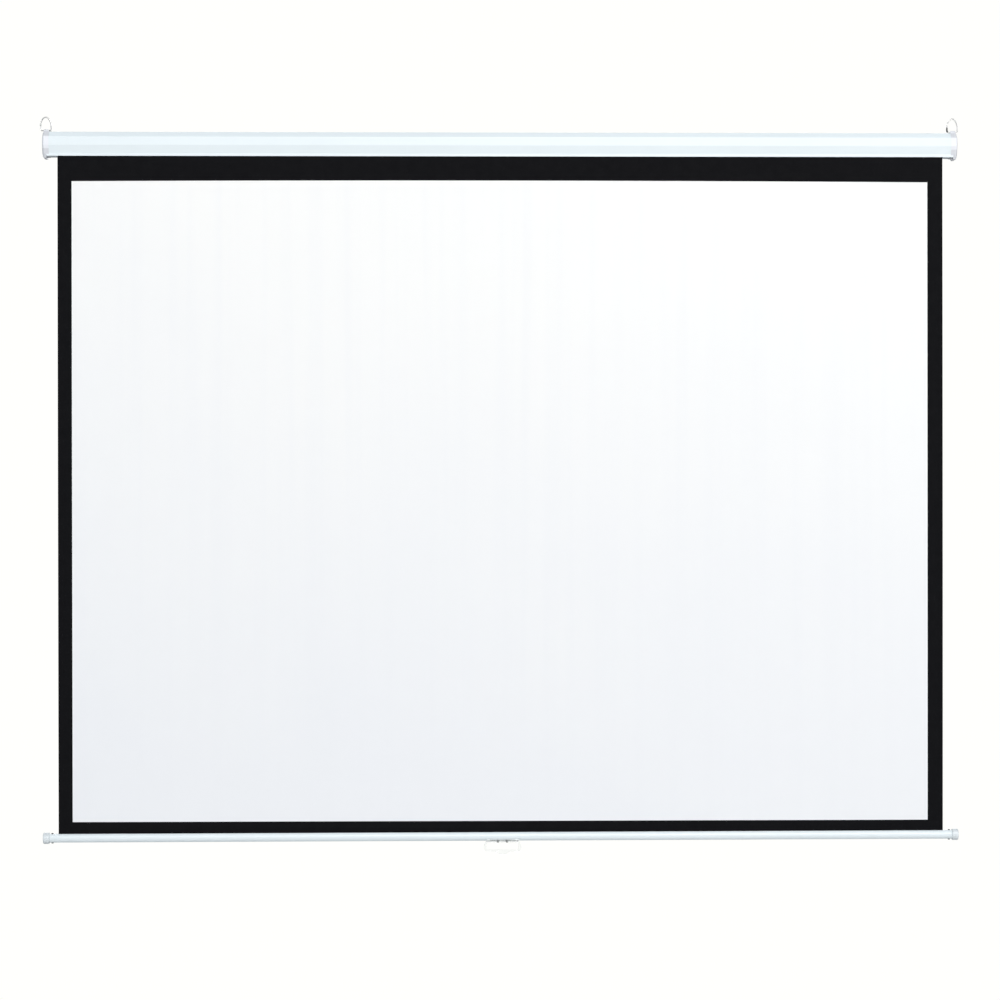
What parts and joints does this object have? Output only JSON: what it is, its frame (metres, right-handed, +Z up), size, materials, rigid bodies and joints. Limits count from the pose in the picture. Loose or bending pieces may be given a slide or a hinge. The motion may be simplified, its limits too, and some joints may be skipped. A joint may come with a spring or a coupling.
{
  "type": "pull-down projector screen",
  "caption": "Pull-down projection screen: faceted white case with end caps and hanging rings, black-bordered white fabric on a self-locking spring roller, round bar, clear handle.",
  "frame": {"origin": "middle of the flat back of the case, on the plane of the wall", "axes": "+X along the case to the right as seen from the front, +Y back into the wall, +Z up"},
  "size_m": [2.1842, 0.0627, 1.7507],
  "materials": {
    "white_painted_steel": "satin",
    "white_moulded_plastic": "satin",
    "matt_white_fabric": "matt",
    "matt_black_fabric": "matt",
    "clear_plastic": "clear",
    "grey_moulded_plastic": "satin",
    "natural_nylon": "satin",
    "zinc_plated_steel": "bright",
    "bright_steel": "bright",
    "galvanised_steel": "satin",
    "dark_screw_steel": "dark"
  },
  "bodies": {
    "case": {"case": "white_painted_steel", "end_cap_left": "white_moulded_plastic", "end_cap_right": "white_moulded_plastic", "case_screw_left_rear": "zinc_plated_steel", "case_screw_left_front": "zinc_plated_steel", "case_screw_right_rear": "zinc_plated_steel", "case_screw_right_front": "zinc_plated_steel", "idle_pin": "bright_steel", "ratchet_wheel": "zinc_plated_steel", "spindle": "bright_steel", "spring_anchor": "natural_nylon", "screen_fabric": "matt_white_fabric"},
    "roller": {"roller_tube": "galvanised_steel", "wound_fabric": "matt_black_fabric", "idle_plug": "grey_moulded_plastic", "idle_bush": "natural_nylon", "lock_plug": "grey_moulded_plastic", "lock_cover": "zinc_plated_steel", "pawl_pin_a": "bright_steel", "pawl_pin_b": "bright_steel", "torsion_spring": "bright_steel"},
    "pawl_a": {"pawl_a": "bright_steel"},
    "pawl_b": {"pawl_b": "bright_steel"},
    "bottom_bar": {"fabric_hem": "matt_black_fabric", "hem_rod": "natural_nylon", "bar_tube": "white_painted_steel", "bar_cap_left": "white_moulded_plastic", "bar_cap_right": "white_moulded_plastic", "bar_screw_left_top": "dark_screw_steel", "bar_screw_left_under": "dark_screw_steel", "bar_screw_right_top": "dark_screw_steel", "bar_screw_right_under": "dark_screw_steel", "pull_handle": "clear_plastic", "handle_screw_left": "dark_screw_steel", "handle_screw_right": "dark_screw_steel"},
    "ring_left": {"hanging_ring_left": "bright_steel"},
    "ring_right": {"hanging_ring_right": "bright_steel"}
  },
  "joints": [
    {"name": "screen_drop", "type": "slide", "parent": "case", "child": "bottom_bar", "axis": [0, 0, 1], "range_m": [0, 1.5946], "deforming": ["screen_fabric"]},
    {"name": "roller_spin", "type": "hinge", "parent": "case", "child": "roller", "pos_m": [0, -0.029, 0], "axis": [1, 0, 0], "range_deg": [-4140, 0]},
    {"name": "pawl_a_drop", "type": "hinge", "parent": "roller", "child": "pawl_a", "pos_m": [1.0521, -0.029, 0.0133], "axis": [-1, 0, 0], "range_deg": [0, 16.4]},
    {"name": "pawl_b_drop", "type": "hinge", "parent": "roller", "child": "pawl_b", "pos_m": [1.0521, -0.029, -0.0133], "axis": [-1, 0, 0], "range_deg": [0, 16.4]},
    {"name": "ring_left_swing", "type": "hinge", "parent": "case", "child": "ring_left", "pos_m": [-1.0798, -0.029, 0.0325], "axis": [1, 0, 0], "range_deg": [-85, 85]},
    {"name": "ring_right_swing", "type": "hinge", "parent": "case", "child": "ring_right", "pos_m": [1.077, -0.029, 0.0325], "axis": [1, 0, 0], "range_deg": [-85, 85]}
  ],
  "couplings": [
    {"joint": "roller_spin", "follows": "screen_drop", "rad_per_m": -45.313}
  ]
}
